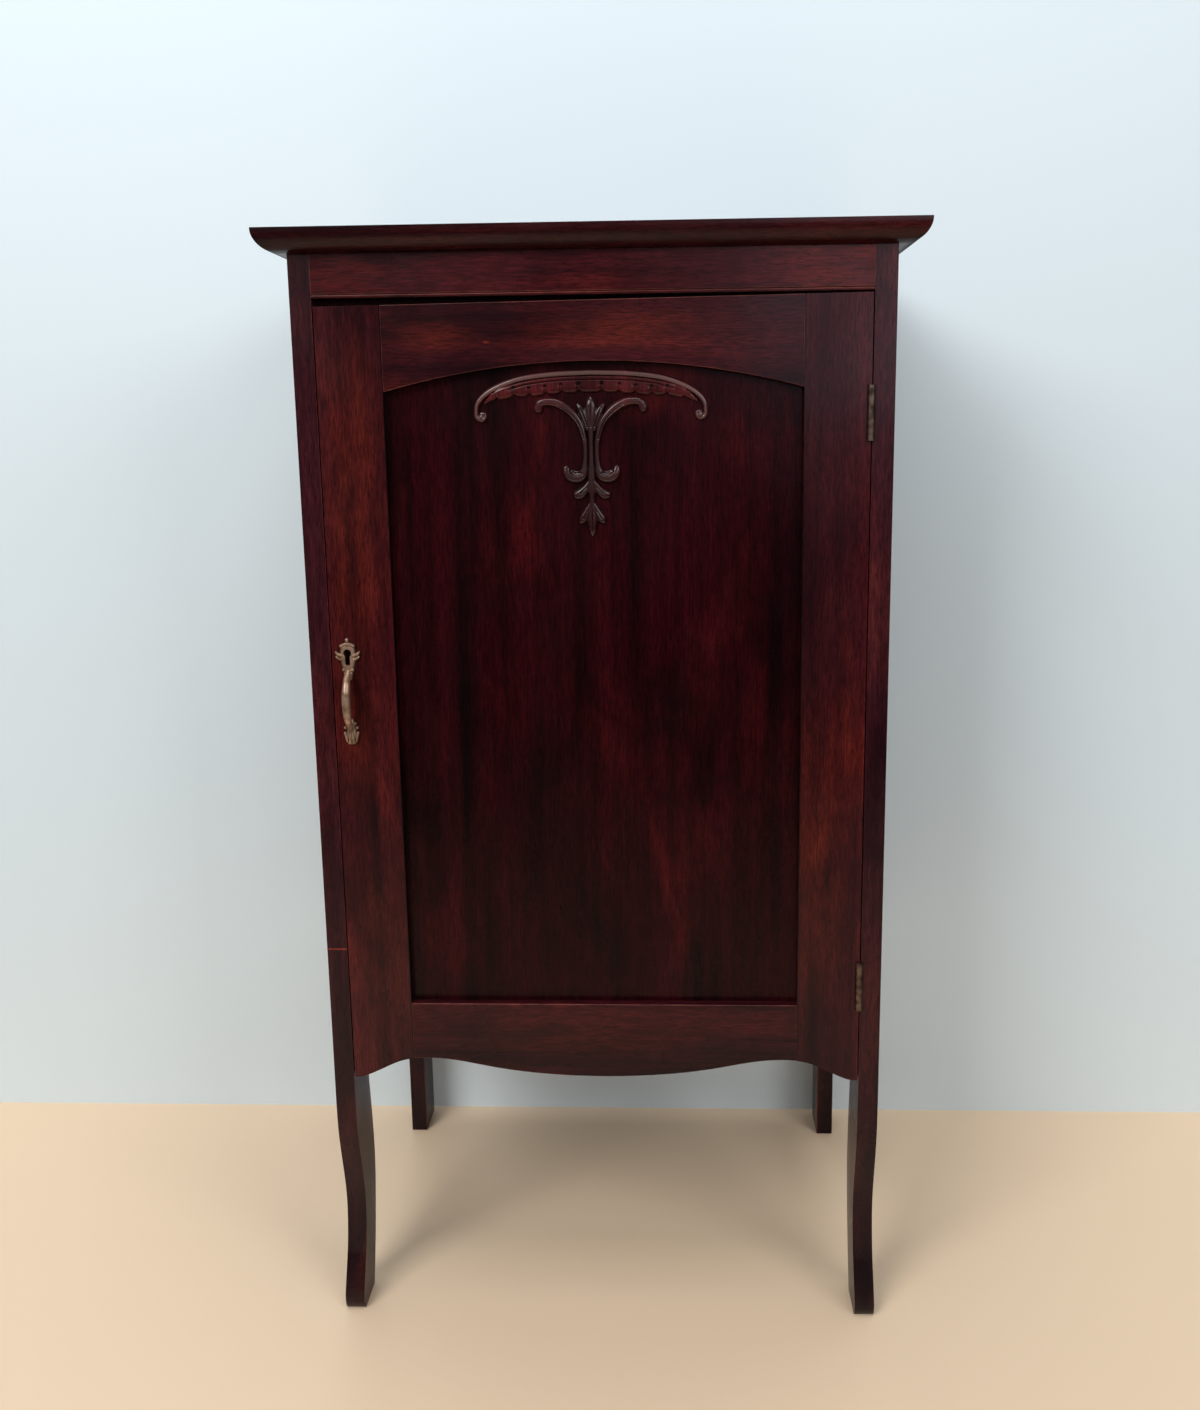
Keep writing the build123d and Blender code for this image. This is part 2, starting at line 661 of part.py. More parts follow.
# Strike plate let into the left post, with its two screws
with BuildPart() as strike_plate:
    block((-inner_x, -inner_x - 1.5), (front + 6, front + 20), strike_z)
    block(
        (-inner_x, -inner_x - 1.5),
        (front + 10, front + 18.5),
        (bolt_low - 1.5, bolt_high + 1.5),
        mode=Mode.SUBTRACT,
    )
    countersunk(strike_screws, 2.4, 5.0, 10.0, grow=0.1, mode=Mode.SUBTRACT)
save(strike_plate, "strike_plate")

with BuildPart() as screws:
    countersunk(strike_screws, 2.4, 5.0, 10.0)
save(screws, "strike_screws")

# Hinges: two leaves with five knuckles between them on one pin
knuckle_step = hinge_height / 5


def hinge_leaf(middle, door_side):
    """One leaf, flush in its edge, with every second knuckle."""
    low = middle - hinge_height / 2
    x = (door_x - leaf_thick, door_x) if door_side else (inner_x, inner_x + leaf_thick)
    block(x, (hinge_y, front + leaf_reach), (low, low + hinge_height))
    own = (1, 3) if door_side else (0, 2, 4)
    for i in range(5):
        foot = low + i * knuckle_step
        spot = (hinge_x, hinge_y, foot + knuckle_step / 2)
        if i in own:
            with Locations(spot):
                Cylinder(knuckle_radius, knuckle_step - knuckle_gap)
        else:
            away = hinge_y + knuckle_radius + 0.35
            notch = (foot - knuckle_gap / 2, foot + knuckle_step + knuckle_gap / 2)
            block(x, (hinge_y - 1, away), notch, mode=Mode.SUBTRACT)
    with Locations((hinge_x, hinge_y, middle)):
        Cylinder(pin_radius + pin_clearance, hinge_height + 1, mode=Mode.SUBTRACT)


post_screw_spots = []
door_screw_spots = []
for name, middle in zip(("lower", "upper"), hinge_centres):
    post_spots = leaf_screws(middle, inner_x, -1)
    door_spots = leaf_screws(middle, door_x, 1)
    with BuildPart() as post_leaf:
        hinge_leaf(middle, False)
        countersunk(post_spots, 3.0, 6.0, 14.0, grow=0.1, mode=Mode.SUBTRACT)
    save(post_leaf, f"hinge_{name}_post_leaf")

    with BuildPart() as door_leaf:
        hinge_leaf(middle, True)
        countersunk(door_spots, 3.0, 6.0, 14.0, grow=0.1, mode=Mode.SUBTRACT)
    save(door_leaf, f"hinge_{name}_door_leaf")

    with BuildPart() as hinge_pin:
        with Locations((hinge_x, hinge_y, middle)):
            Cylinder(pin_radius, hinge_height)
    save(hinge_pin, f"hinge_{name}_pin")
    post_screw_spots += post_spots
    door_screw_spots += door_spots

with BuildPart() as screws:
    countersunk(post_screw_spots, 3.0, 6.0, 14.0)
save(screws, "hinge_post_screws")

with BuildPart() as screws:
    countersunk(door_screw_spots, 3.0, 6.0, 14.0)
save(screws, "hinge_door_screws")
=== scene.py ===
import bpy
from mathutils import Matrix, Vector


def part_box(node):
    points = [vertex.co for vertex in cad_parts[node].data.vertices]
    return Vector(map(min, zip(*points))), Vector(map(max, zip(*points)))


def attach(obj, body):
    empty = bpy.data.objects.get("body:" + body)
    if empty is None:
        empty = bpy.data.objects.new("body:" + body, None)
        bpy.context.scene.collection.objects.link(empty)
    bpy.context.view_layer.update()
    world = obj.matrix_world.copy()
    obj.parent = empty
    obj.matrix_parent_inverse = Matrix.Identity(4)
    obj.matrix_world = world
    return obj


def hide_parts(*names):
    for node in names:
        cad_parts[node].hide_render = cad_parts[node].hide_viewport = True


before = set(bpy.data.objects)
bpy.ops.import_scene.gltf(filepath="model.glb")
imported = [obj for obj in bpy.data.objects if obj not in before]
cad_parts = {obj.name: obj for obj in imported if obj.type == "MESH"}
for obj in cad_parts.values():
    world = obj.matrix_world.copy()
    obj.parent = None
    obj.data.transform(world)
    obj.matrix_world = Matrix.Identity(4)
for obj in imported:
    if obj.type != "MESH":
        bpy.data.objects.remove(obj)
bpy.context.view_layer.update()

import math

import bmesh
import bpy
import numpy as np
from mathutils import Matrix

# Posts: four mahogany posts, the front pair sawn below the door into legs that bow back and kick forward.
# They are planed, stained dark red and French polished, with the arrises painted a little paler, partly for
# rubbing by handling and partly as a painted highlight.
# The left front post was pieced out low down, which leaves a pale line, and all the posts are painted darker
# towards the floor as painted shade.


def paint(red, green, blue):
    """Linear colour of a colour written as it looks on screen."""
    screen = np.array((red, green, blue)) / 255
    return (*(((screen + 0.055) / 1.055) ** 2.4), 1.0)


def add(tree, kind, inputs, **settings):
    """Node with its settings, whose inputs are values or links from other sockets."""
    made = tree.nodes.new(kind)
    for key, value in settings.items():
        setattr(made, key, value)
    for key, value in inputs.items():
        if isinstance(value, bpy.types.NodeSocket):
            tree.links.new(value, made.inputs[key])
        else:
            made.inputs[key].default_value = value
    return made


def noise(tree, vector, scale, detail=4.0, distortion=0.0, low=0.35, high=0.65):
    """Noise stretched by a scale for each axis, spread over 0 to 1 between low and high."""
    spread = add(tree, "ShaderNodeMapping", {"Vector": vector, "Scale": scale})
    made = add(
        tree,
        "ShaderNodeTexNoise",
        {"Vector": spread.outputs[0], "Scale": 1.0, "Detail": detail, "Distortion": distortion},
    )
    ranged = add(tree, "ShaderNodeMapRange", {"Value": made.outputs[0], "From Min": low, "From Max": high})
    return ranged.outputs[0]


def blend(tree, amount, first, second, kind="MIX"):
    """Mix of two colours."""
    made = tree.nodes.new("ShaderNodeMix")
    made.data_type = "RGBA"
    made.blend_type = kind
    for key, value in ((0, amount), (6, first), (7, second)):
        if isinstance(value, bpy.types.NodeSocket):
            tree.links.new(value, made.inputs[key])
        else:
            made.inputs[key].default_value = value
    return made.outputs[2]


def calculate(tree, kind, first, second):
    """Result of one sum on two values."""
    return add(tree, "ShaderNodeMath", {0: first, 1: second}, operation=kind).outputs[0]


def sockets(tree, inputs, outputs):
    """Named sockets of a node group, and its input and output nodes."""
    for name, kind in inputs.items():
        tree.interface.new_socket(name, in_out="INPUT", socket_type="NodeSocket" + kind)
    for name, kind in outputs.items():
        tree.interface.new_socket(name, in_out="OUTPUT", socket_type="NodeSocket" + kind)
    return tree.nodes.new("NodeGroupInput").outputs, tree.nodes.new("NodeGroupOutput")


figure = bpy.data.node_groups.new("Polished wood figure", "ShaderNodeTree")
given, result = sockets(
    figure,
    {
        "Grain": "Vector",
        "Shadow": "Color",
        "Ground": "Color",
        "Flame": "Color",
        "Flames": "Float",
        "Glow": "Float",
    },
    {"Color": "Color", "Roughness": "Float", "Height": "Float"},
)
grain = given["Grain"]
bands = noise(figure, grain, (1.1, 19.0, 19.0), detail=3.0, distortion=0.7, low=0.36, high=0.64)
streaks = noise(figure, grain, (3.6, 105.0, 105.0), detail=5.0, distortion=0.3, low=0.3, high=0.7)
fibres = noise(figure, grain, (64.0, 640.0, 640.0), detail=3.0, low=0.36, high=0.64)
pores = noise(figure, grain, (130.0, 1300.0, 1300.0), detail=1.0, low=0.56, high=0.68)
patches = noise(figure, grain, (3.4, 11.0, 11.0), detail=4.0, distortion=1.2, low=0.5, high=0.74)
tone = add(figure, "ShaderNodeMath", {0: streaks, 1: 0.4, 2: 0.0}, operation="MULTIPLY_ADD").outputs[0]
tone = add(figure, "ShaderNodeMath", {0: bands, 1: 0.6, 2: tone}, operation="MULTIPLY_ADD").outputs[0]
colour = blend(figure, tone, given["Shadow"], given["Ground"])
warm = calculate(figure, "MULTIPLY", patches, given["Flames"])
mottle = noise(figure, grain, (14.0, 60.0, 60.0), detail=4.0, low=0.25, high=0.75)
glowing = calculate(figure, "MULTIPLY", mottle, given["Glow"])
warm = calculate(figure, "ADD", calculate(figure, "MULTIPLY", warm, tone), glowing)
colour = blend(figure, warm, colour, given["Flame"])
light = add(figure, "ShaderNodeMath", {0: fibres, 1: 0.55, 2: 0.62}, operation="MULTIPLY_ADD").outputs[0]
grey = add(figure, "ShaderNodeCombineColor", {0: light, 1: light, 2: light}).outputs[0]
colour = blend(figure, 1.0, colour, grey, kind="MULTIPLY")
colour = blend(figure, calculate(figure, "MULTIPLY", pores, 0.6), colour, given["Shadow"])
smudges = noise(figure, grain, (6.0, 15.0, 15.0), detail=5.0, distortion=0.9, low=0.5, high=0.72)
colour = blend(figure, calculate(figure, "MULTIPLY", smudges, 0.6), colour, given["Shadow"])
figure.links.new(colour, result.inputs["Color"])
smears = noise(figure, grain, (9.0, 14.0, 14.0), detail=3.0)
sheen = add(figure, "ShaderNodeMath", {0: smears, 1: 0.12, 2: 0.2}, operation="MULTIPLY_ADD").outputs[0]
figure.links.new(sheen, result.inputs["Roughness"])
figure.links.new(calculate(figure, "SUBTRACT", fibres, pores), result.inputs["Height"])


def wood(name, shadow, ground, flame, flames, bump=0.00002, coat=0.04, glows=()):
    """Polished wood that follows the grain attribute.

    It is brighter round each glow (x, z, half width, half height, amount).
    """
    made = bpy.data.materials.new(name)
    made.use_nodes = True
    tree = made.node_tree
    surface = tree.nodes["Principled BSDF"]
    grain = add(tree, "ShaderNodeAttribute", {}, attribute_name="grain").outputs["Vector"]
    own = add(tree, "ShaderNodeGroup", {}, node_tree=figure)
    tree.links.new(grain, own.inputs["Grain"])
    for key, value in (("Shadow", shadow), ("Ground", ground), ("Flame", flame)):
        own.inputs[key].default_value = paint(*value)
    own.inputs["Flames"].default_value = flames
    place = tree.nodes.new("ShaderNodeTexCoord").outputs["Object"] if glows else None
    total = 0.0
    for x, z, wide, high, amount in glows:
        spread = add(tree, "ShaderNodeMapping", {"Vector": place, "Location": (-x / wide, 0, -z / high)})
        spread.inputs["Scale"].default_value = (1 / wide, 0, 1 / high)
        ball = add(tree, "ShaderNodeTexGradient", {"Vector": spread.outputs[0]}, gradient_type="SPHERICAL")
        total = calculate(tree, "ADD", calculate(tree, "MULTIPLY", ball.outputs["Fac"], amount), total)
    if glows:
        tree.links.new(total, own.inputs["Glow"])
    raised = add(tree, "ShaderNodeBump", {"Height": own.outputs["Height"], "Distance": bump, "Strength": 1.0})
    tree.links.new(own.outputs["Color"], surface.inputs["Base Color"])
    tree.links.new(own.outputs["Roughness"], surface.inputs["Roughness"])
    tree.links.new(raised.outputs[0], surface.inputs["Normal"])
    surface.inputs["Specular IOR Level"].default_value = 0.16
    surface.inputs["Coat Weight"].default_value = coat
    surface.inputs["Coat Roughness"].default_value = 0.12
    return made


def board(name, along, shift, body, skins, arris=0.0006):
    """Merged copy of a CAD piece whose arrises take a paler colour, for rubbing and as a painted highlight,
    and whose grain runs along one axis.

    The shift takes it from another part of the figure, as from another plank.
    """
    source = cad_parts[name]
    shape = bmesh.new()
    shape.from_mesh(source.data)
    shape.transform(source.matrix_world)
    bmesh.ops.remove_doubles(shape, verts=shape.verts, dist=1e-6)
    bmesh.ops.dissolve_limit(shape, angle_limit=math.radians(0.4), verts=shape.verts, edges=shape.edges)
    for face in shape.faces:
        face.smooth = True
    mesh = bpy.data.meshes.new("wood_" + name)
    shape.to_mesh(mesh)
    shape.free()
    order = {"x": (0, 1, 2), "y": (1, 0, 2), "z": (2, 1, 0)}[along]
    plank = np.array((1.7, 0.31, 0.53)) * shift
    places = np.empty(len(mesh.vertices) * 3)
    mesh.vertices.foreach_get("co", places)
    places = places.reshape(-1, 3)[:, order] + plank
    mesh.attributes.new("grain", "FLOAT_VECTOR", "POINT").data.foreach_set("vector", places.ravel())
    for skin in skins:
        mesh.materials.append(skin)
    piece = bpy.data.objects.new("wood_" + name, mesh)
    bpy.context.collection.objects.link(piece)
    rounding = piece.modifiers.new("arris", "BEVEL")
    rounding.width = arris
    rounding.segments = 2
    rounding.limit_method = "ANGLE"
    rounding.angle_limit = math.radians(40)
    rounding.material = len(skins) - 1
    piece.modifiers.new("flats", "WEIGHTED_NORMAL").weight = 90
    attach(piece, body)
    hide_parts(name)


mahogany = wood("Mahogany", (20, 4, 10), (76, 22, 27), (124, 40, 28), 0.8)
# Painted highlight, partly also rubbing: the bevelled arrises take this paler colour.
mahogany_arris = wood("Mahogany arris", (60, 26, 26), (132, 72, 64), (160, 92, 72), 0.7)
polished = (mahogany, mahogany_arris)
splice = (-0.262, 0.400, 0.028, 0.0012, 5.0)
lightened = [
    (-0.275, 0.62, 0.03, 0.11, 0.35),
    (-0.268, 0.20, 0.03, 0.10, 0.25),
    (0.268, 0.34, 0.03, 0.14, 0.2),
]
posts = {
    "post_front_left": [splice] + lightened,
    "post_front_right": lightened,
    "post_rear_left": [],
    "post_rear_right": [],
}
for number, (name, glows) in enumerate(posts.items()):
    post_wood = wood("Mahogany " + name, (18, 5, 12), (70, 26, 33), (128, 50, 40), 0.6, glows=glows)
    tree = post_wood.node_tree
    surface = tree.nodes["Principled BSDF"]
    place = tree.nodes.new("ShaderNodeTexCoord").outputs["Object"]
    height = add(tree, "ShaderNodeSeparateXYZ", {0: place}).outputs["Z"]
    # Painted shade: below 0.16 m each post's colour darkens towards the floor.
    feet = {"Value": height, "From Min": 0.16, "From Max": 0.02, "To Max": 0.6}
    foot_shade = add(tree, "ShaderNodeMapRange", feet).outputs[0]
    bare_colour = surface.inputs["Base Color"].links[0].from_socket
    tree.links.new(blend(tree, foot_shade, bare_colour, paint(14, 7, 8)), surface.inputs["Base Color"])
    board(name, "z", 1 + number, "carcass", (post_wood, mahogany_arris), arris=0.0009)

# Side boards: one wide mahogany board a side, tongued into the posts a little behind their outer faces.
# They are polished outside and left with the same stain inside, where the housings for the shelves are.
for number, name in enumerate(("side_board_left", "side_board_right")):
    board(name, "z", 6 + number, "carcass", polished)

# Back: a thin panel of plain stained wood between two rails, never polished and a little dusty.
# It stands against the wall, so its grain is dull and its colour is browner than the front.
plain = wood("Stained back wood", (38, 22, 16), (78, 48, 34), (104, 66, 42), 0.4, bump=0.00004, coat=0.0)
# The paler arris colour here is partly rubbing and partly a painted highlight.
plain_arris = wood("Stained back arris", (58, 36, 26), (102, 68, 48), (120, 82, 56), 0.3, coat=0.0)
for number, name in enumerate(("back_rail_upper", "back_rail_lower")):
    board(name, "x", 9 + number, "carcass", (plain, plain_arris))
board("back_panel", "z", 12, "carcass", (plain, plain_arris))

# Bottom board and shelves: thin mahogany boards that lie across the cabinet in their housings.
# Their fronts are rounded and only lightly polished, since sheet music slides over them.
shelf_wood = wood("Shelf mahogany", (52, 20, 15), (98, 44, 30), (128, 64, 40), 0.5, coat=0.1)
# The paler arris colour here is partly rubbing and partly a painted highlight.
shelf_arris = wood("Shelf mahogany arris", (70, 32, 24), (118, 60, 42), (140, 80, 54), 0.5, coat=0.1)
for number, name in enumerate(["bottom_board"] + [f"shelf_{i}" for i in range(1, 8)]):
    board(name, "x", 14 + number, "carcass", (shelf_wood, shelf_arris), arris=0.0004)

# Cleats and glue blocks: rough offcuts that hold the top board and stiffen the bottom board.
# Cleats are screwed up into the top and the glue blocks are rubbed on with hot glue.
for number, name in enumerate(("top_cleat_left", "top_cleat_right", "glue_block_left", "glue_block_right")):
    board(name, "y", 23 + number, "carcass", (plain, plain_arris))

# Frieze rail and door stops: a rail tenoned between the front posts, with a small bead along its lower edge.
# The stops glued behind the frieze and down the left post are thin strips of the same mahogany.
board("frieze_rail", "x", 29, "carcass", polished, arris=0.0004)
board("door_stop_upper", "x", 31, "carcass", polished)
board("door_stop_left", "z", 32, "carcass", polished)

# Top board: one mahogany board whose front and ends are worked to a deep round below a sharp upper edge.
# It is the most handled piece, so its edge takes the paler arris colour, partly for rubbing and partly as a
# painted highlight, and its polish is a little darker.
top_wood = wood("Top mahogany", (18, 5, 9), (76, 26, 30), (108, 40, 32), 0.6)
board("top_board", "x", 34, "carcass", (top_wood, mahogany_arris), arris=0.0005)

# Door stiles: two upright members of the door frame, with tenons from the rails let into them.
# The left one carries the lock and pull, and the right one the hinges.
glows = [
    (-0.222, 0.85, 0.045, 0.17, 0.7),
    (-0.225, 0.62, 0.05, 0.10, 0.35),
    (-0.218, 0.40, 0.05, 0.16, 0.35),
    (0.212, 0.52, 0.045, 0.18, 0.5),
    (-0.145, 0.993, 0.05, 0.016, 0.9),
    (0.035, 1.004, 0.12, 0.018, 0.6),
    (-0.02, 0.31, 0.16, 0.03, 0.3),
    (-0.096, 0.989, 0.004, 0.0012, 5.0),
]
door_wood = wood("Door mahogany", (20, 4, 10), (74, 22, 27), (126, 44, 29), 0.7, glows=glows)
tree = door_wood.node_tree
surface = tree.nodes["Principled BSDF"]
place = tree.nodes.new("ShaderNodeTexCoord").outputs["Object"]
across = add(tree, "ShaderNodeSeparateXYZ", {0: place}).outputs["X"]
for joint in (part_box("door_stile_left")[1][0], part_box("door_stile_right")[0][0]):
    gap = calculate(tree, "ABSOLUTE", calculate(tree, "SUBTRACT", across, joint), 0.0)
    seam = add(tree, "ShaderNodeMapRange", {"Value": gap, "From Min": 0.0011, "From Max": 0.0004}).outputs[0]
    bare_colour = surface.inputs["Base Color"].links[0].from_socket
    tree.links.new(blend(tree, seam, bare_colour, paint(16, 4, 6)), surface.inputs["Base Color"])
framed = (door_wood, mahogany_arris)
for number, name in enumerate(("door_stile_left", "door_stile_right")):
    board(name, "z", 37 + number, "door", framed)

# Door rails: the upper one is arched along its lower edge and the lower one is shaped below.
# Both are mahogany with the grain across the door and meet the stiles in flush joints.
for number, name in enumerate(("door_rail_upper", "door_rail_lower")):
    board(name, "x", 40 + number, "door", framed)

# Door panel: one thin mahogany board with near-black bands in its figure, the darkest piece of the front.
# It lies in a rebate behind the frame, held by four small beads inside the door.
panel_wood = wood("Panel mahogany", (2, 0, 1), (51, 8, 15), (80, 18, 20), 0.9, coat=0.0)
panel_wood.node_tree.nodes["Principled BSDF"].inputs["Specular IOR Level"].default_value = 0.1
board("door_panel", "z", 43, "door", (panel_wood, mahogany_arris), arris=0.0003)
for number, side in enumerate(("left", "right", "upper", "lower")):
    way = "z" if side in ("left", "right") else "x"
    board(f"panel_bead_{side}", way, 45 + number, "door", (mahogany, mahogany_arris))

# Crescent and scallops: a carved moulding under the arch, curled at its ends, over a scalloped band.
# They are mahogany glued to the panel, with their ridges painted paler for rubbing and as a painted
# highlight, their hollows painted near black as painted shade, and dark dots of painted shade between the
# scallops where no hole is cut.


def smooth(points, step):
    """Rows spaced evenly on a smooth curve through the given rows."""
    points = np.array(points, float)
    ends = np.vstack((2 * points[0] - points[1], points, 2 * points[-1] - points[-2]))
    rows = []
    for a, b, c, d in zip(ends, ends[1:], ends[2:], ends[3:]):
        count = max(2, int(np.hypot(*(c - b)[:2]) / step))
        t = np.linspace(0, 1, count, endpoint=False)[:, None]
        rows.append(b + 0.5 * t * (c - a + t * (2 * a - 5 * b + 4 * c - d + t * (3 * (b - c) + d - a))))
    return np.vstack(rows + [points[-1:]])


def both(strokes):
    """Strokes and their mirror images."""
    return strokes + [[(-row[0], *row[1:]) for row in stroke] for stroke in strokes]


def relief(name, strokes, cuts, middle, face, replaced, slot, skin, step=0.45, rise=2.0, dots=()):
    """Closed relief in millimetres: the highest of rounded strokes (x, z, half width, height), less the cuts.

    Round each dot (x, z, radius) the ridge value falls to nothing.
    """
    sunk, base = -0.4, 0.8
    spots = np.vstack([smooth(stroke, step) for stroke in strokes])
    low = (spots[:, :2] - spots[:, 2:3]).min(axis=0) - step
    high = (spots[:, :2] + spots[:, 2:3]).max(axis=0) + step
    x, z = np.meshgrid(np.arange(low[0], high[0], step), np.arange(low[1], high[1], step))
    level = np.full(x.shape, sunk)
    for a, b, half, crest in spots:
        away = ((x - a) ** 2 + (z - b) ** 2) / half**2
        level = np.maximum(level, crest * (1 - away**rise))
    cut = np.zeros(x.shape)
    for stroke in cuts:
        for a, b, half, crest in smooth(stroke, step):
            cut = np.maximum(cut, crest * (1 - ((x - a) ** 2 + (z - b) ** 2) / half**2))
    level = np.maximum(level - cut, sunk)
    number = np.arange(x.size).reshape(x.shape)
    corners = [number[:-1, :-1], number[:-1, 1:], number[1:, 1:], number[1:, :-1]]
    quads = np.stack([corner.ravel() for corner in corners], axis=1)
    quads = quads[(level.ravel()[quads] > 0).any(axis=1)]
    edges = np.vstack([quads[:, [i, (i + 1) % 4]] for i in range(4)])
    known = set(map(tuple, edges.tolist()))
    rim = np.array([edge for edge in map(tuple, edges.tolist()) if edge[::-1] not in known])
    walls = np.stack((rim[:, 1], rim[:, 0], rim[:, 0] + x.size, rim[:, 1] + x.size), axis=1)
    faces = np.vstack((quads, quads[:, ::-1] + x.size, walls))
    front = np.stack((x.ravel() + middle[0], face - level.ravel(), z.ravel() + middle[1]), axis=1)
    rear = front.copy()
    rear[:, 1] = face + base
    used, faces = np.unique(faces, return_inverse=True)
    places = (np.vstack((front, rear)) / 1000)[used]
    mesh = bpy.data.meshes.new(name)
    mesh.from_pydata(places.tolist(), [], faces.reshape(-1, 4).tolist())
    mesh.shade_smooth()
    upright = places[:, [2, 1, 0]].ravel()
    mesh.attributes.new("grain", "FLOAT_VECTOR", "POINT").data.foreach_set("vector", upright)
    ridge = level / level.max()
    for a, b, radius in dots:
        ridge *= np.clip(np.hypot(x - a, z - b) / radius - 0.4, 0, 1)
    ridge = np.concatenate((ridge.ravel(), np.zeros(x.size)))[used]
    mesh.attributes.new("ridge", "FLOAT", "POINT").data.foreach_set("value", ridge)
    mesh.materials.append(skin)
    piece = bpy.data.objects.new(name, mesh)
    bpy.context.collection.objects.link(piece)
    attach(piece, "door")
    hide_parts(replaced)


def carving(name, shadow, ground, flame, wear_and_highlight, gloss):
    """Carved wood, painted near black in its hollows as painted shade and a paler, glossier colour on its
    ridges, partly for rubbing and partly as a painted highlight.
    """
    made = wood(name, shadow, ground, flame, 0.6)
    tree = made.node_tree
    surface = tree.nodes["Principled BSDF"]
    ridges = add(tree, "ShaderNodeAttribute", {}, attribute_name="ridge").outputs["Fac"]
    # Painted highlight, partly also rubbing: the top of each ridge is painted a paler colour.
    rubbed_and_lit = add(tree, "ShaderNodeMapRange", {"Value": ridges, "From Min": 0.55, "From Max": 1.0}).outputs[0]
    # Painted shade: the low parts of the relief next to the panel, and its cut grooves, are painted near
    # black.
    hollow_shade = add(tree, "ShaderNodeMapRange", {"Value": ridges, "From Min": 0.02, "From Max": 0.3}).outputs[0]
    plain_colour = surface.inputs["Base Color"].links[0].from_socket
    lightened = blend(tree, calculate(tree, "MULTIPLY", rubbed_and_lit, wear_and_highlight), plain_colour, paint(150, 118, 114))
    tree.links.new(blend(tree, hollow_shade, paint(12, 2, 5), lightened), surface.inputs["Base Color"])
    tree.links.new(calculate(tree, "MULTIPLY", hollow_shade, gloss), surface.inputs["Coat Weight"])
    return made


carved = carving("Carved mahogany", (24, 6, 10), (76, 20, 24), (104, 32, 29), 0.08, 0.5)
highlighted_rubbed_wood = carving("Rubbed and highlighted mahogany", (34, 10, 13), (78, 28, 30), (104, 40, 36), 0.4, 0.7)
scalloped = carving("Scalloped mahogany", (44, 12, 15), (96, 32, 36), (120, 44, 42), 0.0, 0.2)
arch = (-2.5, 971.5)
panel_face = -150.8
moulding = [
    (101.5, -46.4, 1.8, 2.0), (98.4, -47.2, 2.1, 2.5), (98.2, -50.6, 2.3, 2.8), (101.4, -52.4, 2.4, 3.1),
    (105.4, -50.2, 2.5, 3.3), (106.0, -45.0, 2.5, 3.4), (104.9, -38.2, 2.6, 3.6), (100.2, -31.7, 2.8, 3.7),
    (90.8, -25.0, 3.0, 3.9), (76.3, -18.8, 3.1, 3.9), (59.6, -14.5, 3.3, 3.9), (33.0, -11.5, 3.3, 3.9),
    (0.0, -10.4, 3.3, 3.9),
]
crescent = both([moulding, [(101.4, -49.0, 2.6, 4.2), (101.3, -49.2, 2.6, 4.2)]])
moulded = (crescent, [], arch, panel_face, "carved_crescent", "carved_wood", highlighted_rubbed_wood)
relief("carving_crescent", *moulded, rise=1.4)
joints = [(88, -31.1), (71, -27.5), (56.7, -28), (41.7, -26.7), (27, -25.1), (10.7, -24.5)]
joints.append((-10.7, -24.5))
lobes = [
    [
        (91.0, -29.4, 1.7, 3.4), (76.0, -23.4, 1.8, 3.7), (59.4, -19.0, 1.8, 3.8),
        (33.0, -15.8, 1.8, 3.8), (0.0, -14.7, 1.8, 3.8),
    ],
    [(86.0, -27.4, 3.6, 3.3), (70.0, -23.0, 4.4, 3.3), (33.0, -19.6, 5.0, 3.3), (0.0, -18.6, 5.0, 3.3)],
    [(90.0, -30.6, 3.4, 3.0), (98.0, -36.8, 1.0, 1.5)],
]
for (x_a, z_a), (x_b, z_b) in zip(joints, joints[1:]):
    reach = (x_a - x_b) / 2 + 1.0
    half = min(reach, 6.6)
    beside = max(reach - half, 0.1)
    middle = (x_a + x_b) / 2
    centre = (z_a + z_b) / 2 - 4.2 + half
    slope = (z_a - z_b) / (x_a - x_b) * beside
    lobes.append([(middle - beside, centre - slope, half, 3.4), (middle + beside, centre + slope, half, 3.4)])
groove = [(76, -25.2, 0.7, 1.1), (59.4, -20.8, 0.8, 1.3), (33, -17.6, 0.8, 1.3), (0, -16.5, 0.8, 1.3)]
band = (both(lobes), both([groove]), arch, panel_face, "carved_scallops", "carved_wood", scalloped)
# Painted shade: round each of these dots the ridge value falls to nothing, so the carving colour paints a
# dark spot where no hole is cut.
shaded_dots = [(side * x, z + 5.0, 2.4) for x, z in joints[1:] for side in (-1, 1)]
relief("carving_scallops", *band, dots=shaded_dots)

# Centre carving: a leaf on a stem between two S-shaped scrolls, with lobes and a hanging leaf below.
# It is cut from one mahogany piece, glued to the panel and finished like the crescent above it.
scroll = [
    (48.4, -42.4, 4.9, 4.2), (46.4, -37.8, 4.1, 4.6), (40.5, -36.4, 4.1, 4.8), (31.0, -37.8, 4.4, 4.8),
    (20.0, -44.5, 4.4, 4.8), (10.8, -55.5, 3.6, 4.8), (6.2, -70.5, 2.9, 4.6), (5.4, -83.5, 2.6, 4.4),
    (6.0, -94.0, 3.0, 4.4), (7.6, -102.0, 4.6, 4.6), (12.0, -105.6, 5.9, 4.8), (18.0, -105.2, 6.0, 4.8),
    (22.4, -102.0, 4.9, 4.4), (23.6, -97.8, 3.5, 3.6),
]
leaflet = [(11.7, -39.6, 1.9, 2.2), (8.6, -44.5, 3.7, 3.6), (5.6, -51.5, 4.0, 4.0), (3.0, -61.0, 3.1, 3.6)]
